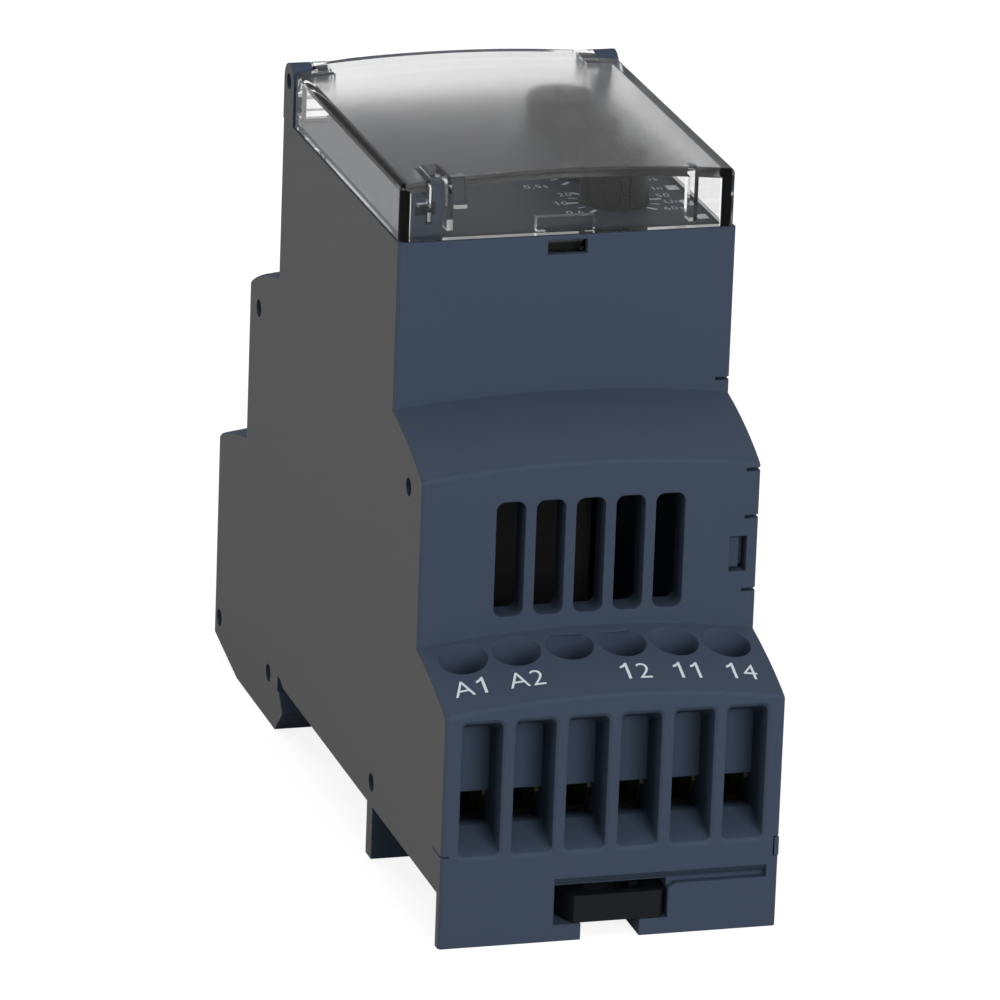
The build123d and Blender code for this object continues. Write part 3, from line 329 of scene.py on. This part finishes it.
def metal(name, colour, roughness):
    """Plated metal with faint marks."""
    material, tree, shader = new_material(name)
    noise, _ = add_grain(
        tree, shader, object_place(tree), METAL_GRAIN_SCALE, METAL_GRAIN_STRENGTH, METAL_GRAIN_DEPTH
    )
    ends = {
        "Value": noise,
        "To Min": roughness - METAL_ROUGHNESS_SPREAD,
        "To Max": roughness + METAL_ROUGHNESS_SPREAD,
    }
    spread = add_node(tree, "ShaderNodeMapRange", ends).outputs["Result"]
    connect(tree, shader, {"Metallic": 1.0, "Base Color": linear(colour), "Roughness": spread})
    return material


def clear_plastic(name):
    """Clear polished plastic, frosted over its broad top face."""
    material, tree, shader = new_material(name)
    place = object_place(tree)
    add_grain(tree, shader, place, COVER_WAVE_SCALE, COVER_WAVE_STRENGTH, COVER_WAVE_DEPTH)
    up_ends = {
        "Value": facing(tree)["Z"],
        "From Min": FROST_FACING_Z[0],
        "From Max": FROST_FACING_Z[1],
    }
    upward = add_node(tree, "ShaderNodeMapRange", up_ends).outputs["Result"]
    where = along_axes(tree, place)
    high = calculate(tree, "GREATER_THAN", where["Z"], FROST_FROM_Z)
    frost = calculate(tree, "MULTIPLY", upward, high)
    fade_ends = {
        "Value": where["Y"],
        "From Min": FROST_Y[0],
        "From Max": FROST_Y[1],
        "To Min": FROST_ROUGHNESS[0],
        "To Max": FROST_ROUGHNESS[1],
    }
    fade = add_node(tree, "ShaderNodeMapRange", fade_ends).outputs["Result"]
    rough_ends = {"Value": frost, "To Min": CLEAR_ROUGHNESS, "To Max": fade}
    rough = add_node(tree, "ShaderNodeMapRange", rough_ends).outputs["Result"]
    connect(
        tree,
        shader,
        {
            "Base Color": (1.0, 1.0, 1.0, 1.0),
            "Transmission Weight": 1.0,
            "IOR": COVER_IOR,
            "Roughness": rough,
        },
    )
    return material


def printing_ink(name):
    """Pale matt printing, a little uneven."""
    material, tree, shader = new_material(name)
    noise = noise_at(tree, object_place(tree), INK_TONE_SCALE)
    tone = toned(tree, noise, PRINT_PALE, INK_TONES)
    connect(tree, shader, {"Roughness": INK_ROUGHNESS, "Base Color": tone})
    return material


def dress_nodes():
    """Give every node of the model its finish."""
    finishes = {
        "housing_grey": housing_plastic("housing plastic"),
        "cover_clear": clear_plastic("cover plastic"),
        "clip_black": plastic("clip plastic", CLIP_BLACK, roughness=0.4),
        "knob_black": plastic("knob plastic", KNOB_BLACK, strength=0.01, specular=0.2),
        "dial_dark": plastic("dial plastic", DIAL_DARK, grain=5000.0, strength=0.02),
        "guide_white": plastic("lamp window", LAMP_WHITE, roughness=0.35, strength=0.03),
        "board_green": plastic("board laminate", BOARD_GREEN, roughness=0.4, grain=1500.0),
        "relay_plastic": plastic("relay plastic", RELAY_BLACK, roughness=0.45),
        "zinc_steel": metal("zinc plating", ZINC_METAL, roughness=0.35),
        "spring_steel": metal("spring steel", ZINC_METAL, roughness=0.25),
        "magnet_iron": metal("nickel plating", IRON_METAL, roughness=0.3),
        "winding_copper": metal("enamelled copper", COPPER_METAL, roughness=0.35),
        "bar_copper": metal("tinned copper", TINNED_METAL, roughness=0.3),
        "capacitor_can": plastic("capacitor sleeve", CAN_BLUE, roughness=0.3, strength=0.04),
    }
    cage_finish = metal("cage plating", CAGE_METAL, roughness=0.4)
    slots = {part["node"]: part["material_slot"] for part in frame["record"]["subparts"]}
    for name, node in frame["nodes"].items():
        finish = cage_finish if "cage" in name else finishes[slots[name]]
        for slot in node.material_slots:
            slot.material = finish


def surface_tree(node_name):
    """Search tree of a node's triangles, for printing on it."""
    node = frame["nodes"][node_name]
    mesh = node.data
    mesh.calc_loop_triangles()
    points = [node.matrix_world @ v.co for v in mesh.vertices]
    return BVHTree.FromPolygons(points, [tuple(t.vertices) for t in mesh.loop_triangles])


def sliced(mesh):
    """Cut a flat mesh across at short steps, so that it can follow a curved surface."""
    cutter = bmesh.new()
    cutter.from_mesh(mesh)
    for axis in (0, 1):
        places = [v.co[axis] for v in cutter.verts]
        across = [0.0, 0.0, 0.0]
        across[axis] = 1.0
        cut = min(places) + PRINT_STEP
        while cut < max(places):
            through = [0.0, 0.0, 0.0]
            through[axis] = cut
            everything = cutter.verts[:] + cutter.edges[:] + cutter.faces[:]
            bmesh.ops.bisect_plane(cutter, geom=everything, plane_co=through, plane_no=across)
            cut += PRINT_STEP
    cutter.to_mesh(mesh)
    cutter.free()


def letter_faces(letter):
    """Points and faces of one letter, one unit high, from the left end of its space."""
    if letter == "1":
        return ONE_OUTLINE, [tuple(range(len(ONE_OUTLINE)))]
    curve = bpy.data.curves.new("letter", "FONT")
    curve.body = letter
    curve.size = LETTER_SIZE
    curve.offset = LETTER_THINNING
    curve.resolution_u = LETTER_RESOLUTION
    flat = bpy.data.objects.new("letter", curve)
    bpy.context.scene.collection.objects.link(flat)
    mesh = bpy.data.meshes.new_from_object(flat)
    bpy.data.objects.remove(flat)
    left = min(v.co.x for v in mesh.vertices)
    right = max(v.co.x for v in mesh.vertices)
    shift = (LETTER_WIDTHS.get(letter, DIGIT_WIDTH) - left - right) / 2
    points = [(v.co.x + shift, v.co.y) for v in mesh.vertices]
    return points, [tuple(p.vertices) for p in mesh.polygons]


def text_mesh(name, text, height, wide=1.0):
    """Flat mesh of a line of text, its height in mm, centred on the origin."""
    widths = [LETTER_WIDTHS.get(letter, DIGIT_WIDTH) for letter in text]
    pen = -sum(widths) / 2
    points, faces = [], []
    for letter, width in zip(text, widths):
        outline, polygons = letter_faces(letter)
        first = len(points)
        points += [
            ((pen + px) * height * wide * MM, (py - 0.5) * height * MM, 0) for px, py in outline
        ]
        faces += [tuple(first + index for index in polygon) for polygon in polygons]
        pen += width
    mesh = bpy.data.meshes.new(name)
    mesh.from_pydata(points, [], faces)
    return mesh


def tick_mesh(name, outer, width):
    """Flat mesh of a tick along x, out to a radius in mm."""
    corners = [
        (TICK_INNER, -width / 2),
        (outer, -width / 2),
        (outer, width / 2),
        (TICK_INNER, width / 2),
    ]
    mesh = bpy.data.meshes.new(name)
    points = [(px * MM, py * MM, 0) for px, py in corners]
    mesh.from_pydata(points, [], [tuple(range(len(points)))])
    return mesh


def printed(mesh, surface, body, ink, x, y, turn=0.0):
    """Lay a flat mesh on an upward surface at a place in mm, as a piece of the same name."""
    sliced(mesh)
    along, across = math.cos(turn), math.sin(turn)
    for vertex in mesh.vertices:
        px, py = vertex.co.x, vertex.co.y
        wx = x * MM + px * along - py * across
        wy = y * MM + px * across + py * along
        hit = surface.ray_cast(Vector((wx, wy, PRINT_FROM_Z)), Vector((0, 0, -1)))[0]
        vertex.co = (wx, wy, hit.z + PRINT_LIFT)
    mesh.materials.append(ink)
    piece = bpy.data.objects.new(mesh.name, mesh)
    bpy.context.scene.collection.objects.link(piece)
    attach(piece, body)


def print_labels(ink):
    """Terminal numbers on the lower shoulder of the clip's end."""
    shoulder = surface_tree("housing")
    for text, x, y in LABELS:
        printed(text_mesh(f"terminal_mark_{text}", text, LABEL_HEIGHT), shoulder, "case", ink, x, y)


def print_scales(ink):
    """Numbers and ticks on the dial plate."""
    plate = surface_tree("dial_plate")
    for number, (text, x, y) in enumerate(DIAL_TEXTS, start=1):
        mesh = text_mesh(f"dial_text_{number}", text, DIAL_TEXT_HEIGHT, DIAL_TEXT_WIDE)
        printed(mesh, plate, "case", ink, x, y)
    for dial, y in enumerate(DIAL_YS):
        for step in range(DIAL_STEPS + 1):
            turn = math.radians(DIAL_START - step * DIAL_SWEEP / DIAL_STEPS)
            mesh = tick_mesh(f"tick_{dial}_{step}", TICK_OUTERS[step % 2], TICK_WIDTHS[step % 2])
            printed(mesh, plate, "case", ink, KNOB_X, y, turn)


def add_camera():
    """Camera at the photograph's place and angle."""
    cy, sy = math.cos(CAMERA_YAW), math.sin(CAMERA_YAW)
    cp, sp = math.cos(CAMERA_PITCH), math.sin(CAMERA_PITCH)
    cr, sr = math.cos(CAMERA_ROLL), math.sin(CAMERA_ROLL)
    forward = Vector((sy * cp, cy * cp, -sp))
    level = Vector((cy, -sy, 0))
    rise = level.cross(forward)
    right = cr * level + sr * rise
    up = -sr * level + cr * rise
    data = bpy.data.cameras.new("camera")
    data.sensor_width = SENSOR_WIDTH
    data.lens = FOCAL_PIXELS * SENSOR_WIDTH / IMAGE_PIXELS
    data.clip_start = CLIP_START
    camera = bpy.data.objects.new("camera", data)
    turn = Matrix((right, up, -forward)).transposed().to_4x4()
    camera.matrix_world = Matrix.Translation(CAMERA_PLACE) @ turn
    bpy.context.scene.collection.objects.link(camera)
    bpy.context.scene.camera = camera


def area_light(name, place, size, power, mirrored):
    """Soft square lamp aimed at the object; unless mirrored, gloss and glass don't show it."""
    data = bpy.data.lights.new(name, "AREA")
    data.size = size
    data.energy = power
    lamp = bpy.data.objects.new(name, data)
    aim = (Vector(LAMP_TARGET) - Vector(place)).to_track_quat("-Z", "Y")
    lamp.matrix_world = Matrix.Translation(place) @ aim.to_matrix().to_4x4()
    lamp.visible_glossy = mirrored
    lamp.visible_transmission = mirrored
    bpy.context.scene.collection.objects.link(lamp)


def seen_factor(tree, gloss_share, glass_share):
    """1 for rays from the camera, a share of it for rays off gloss and through glass, else 0."""
    path = tree.nodes.new("ShaderNodeLightPath")
    seen = path.outputs["Is Camera Ray"]
    for name, share in (("Is Glossy Ray", gloss_share), ("Is Transmission Ray", glass_share)):
        part = calculate(tree, "MULTIPLY", path.outputs[name], share)
        seen = calculate(tree, "MAXIMUM", seen, part)
    return seen


def add_floor():
    """White floor that keeps the shadow."""
    bpy.ops.mesh.primitive_plane_add(size=FLOOR_SIZE, location=(0, 0, 0))
    floor = bpy.context.object
    floor.name = "floor"
    material = bpy.data.materials.new("floor white")
    material.use_nodes = True
    tree = material.node_tree
    tree.nodes.clear()
    diffuse = add_node(tree, "ShaderNodeBsdfDiffuse", {"Color": FLOOR_COLOUR})
    lift = calculate(tree, "MULTIPLY", seen_factor(tree, FLOOR_GLOSS, FLOOR_GLASS), FLOOR_LIFT)
    glow = add_node(tree, "ShaderNodeEmission", {"Strength": lift})
    shaders = {0: diffuse.outputs["BSDF"], 1: glow.outputs["Emission"]}
    both = add_node(tree, "ShaderNodeAddShader", shaders)
    add_node(tree, "ShaderNodeOutputMaterial", {"Surface": both.outputs["Shader"]})
    floor.data.materials.append(material)


def add_surroundings():
    """White surroundings and soft lamps."""
    world = bpy.data.worlds.new("studio")
    bpy.context.scene.world = world
    world.use_nodes = True
    tree = world.node_tree
    strength = calculate(tree, "MAXIMUM", seen_factor(tree, SKY_GLOSS, SKY_GLASS), WORLD_LIGHT)
    connect(tree, tree.nodes["Background"], {"Color": (1, 1, 1, 1), "Strength": strength})
    for lamp in LAMPS:
        area_light(*lamp)


add_camera()
add_floor()
add_surroundings()
dress_nodes()
ink = printing_ink("printing")
print_labels(ink)
print_scales(ink)

bpy.context.scene.view_settings.view_transform = "Standard"
bpy.context.view_layer.update()
